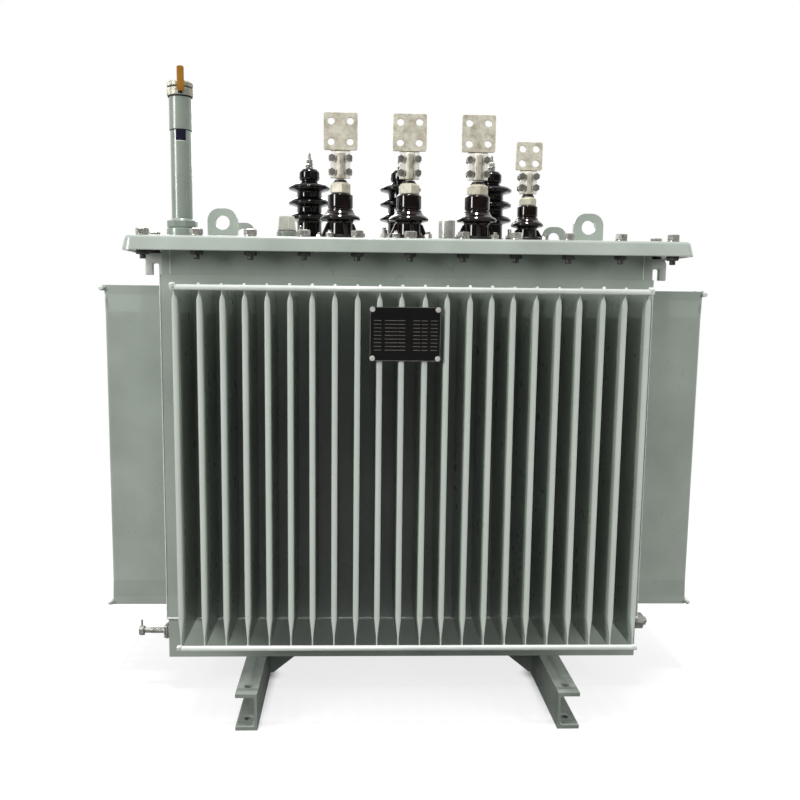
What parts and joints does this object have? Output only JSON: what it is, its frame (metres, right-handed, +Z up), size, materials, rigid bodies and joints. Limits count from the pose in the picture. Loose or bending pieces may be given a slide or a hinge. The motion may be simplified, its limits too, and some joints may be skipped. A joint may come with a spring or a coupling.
{
  "type": "oil-filled distribution transformer",
  "caption": "Oil-filled distribution transformer: finned tank on channel feet, bolted lid with porcelain bushings, four-hole palms, lifting lugs and an oil gauge tube.",
  "frame": {"origin": "on the floor, at the middle of the footprint", "axes": "+X along the tank to the neutral bushing's end, +Y from the low-voltage side to the high-voltage side, +Z up"},
  "size_m": [1.4028, 0.84, 1.392],
  "materials": {
    "tank_paint": "semi-gloss grey-green enamel over steel",
    "gasket_rubber": "matt",
    "glazed_porcelain": "glazed dark brown porcelain",
    "zinc_steel": "zinc-plated",
    "clamp_iron": "cast, dark",
    "tinned_copper": "tinned, satin",
    "tinned_brass": "tinned, satin",
    "sight_glass": "dark glass",
    "cap_metal": "turned and polished",
    "lever_orange": "moulded",
    "filler_plastic": "cream, knurled",
    "plate_black": "black, satin"
  },
  "bodies": {
    "root": {"left_foot": "tank_paint", "right_foot": "tank_paint", "foot_gussets": "tank_paint", "tank_floor": "tank_paint", "base_frame": "tank_paint", "front_wall": "tank_paint", "back_wall": "tank_paint", "left_wall": "tank_paint", "right_wall": "tank_paint", "front_fins": "tank_paint", "back_fins": "tank_paint", "left_fins": "tank_paint", "right_fins": "tank_paint", "fin_rods": "tank_paint", "tank_flange": "tank_paint", "lid_gasket": "gasket_rubber", "lid": "tank_paint", "lug_front_left": "tank_paint", "lug_front_right": "tank_paint", "lug_back_left": "tank_paint", "lug_back_right": "tank_paint", "left_hooks": "tank_paint", "right_hooks": "tank_paint", "high_bushing_1": "glazed_porcelain", "high_terminal_1": "zinc_steel", "high_bushing_2": "glazed_porcelain", "high_terminal_2": "zinc_steel", "high_bushing_3": "glazed_porcelain", "high_terminal_3": "zinc_steel", "high_clamp_rings": "clamp_iron", "low_bushing_a": "glazed_porcelain", "low_bushing_b": "glazed_porcelain", "low_bushing_c": "glazed_porcelain", "low_bushing_neutral": "glazed_porcelain", "low_clamp_rings": "clamp_iron", "low_palm_a": "tinned_copper", "low_palm_b": "tinned_copper", "low_palm_c": "tinned_copper", "low_palm_neutral": "tinned_copper", "low_nuts": "tinned_brass", "low_studs": "tinned_brass", "low_front_jaws": "tinned_copper", "gauge_base": "tank_paint", "gauge_tube": "tank_paint", "gauge_window": "sight_glass", "gauge_cap": "cap_metal", "gauge_lever": "lever_orange", "filler_cap": "filler_plastic", "tap_changer_cover": "cap_metal", "drain_valve": "zinc_steel", "earth_terminal": "zinc_steel", "nameplate": "plate_black"}
  },
  "joints": []
}
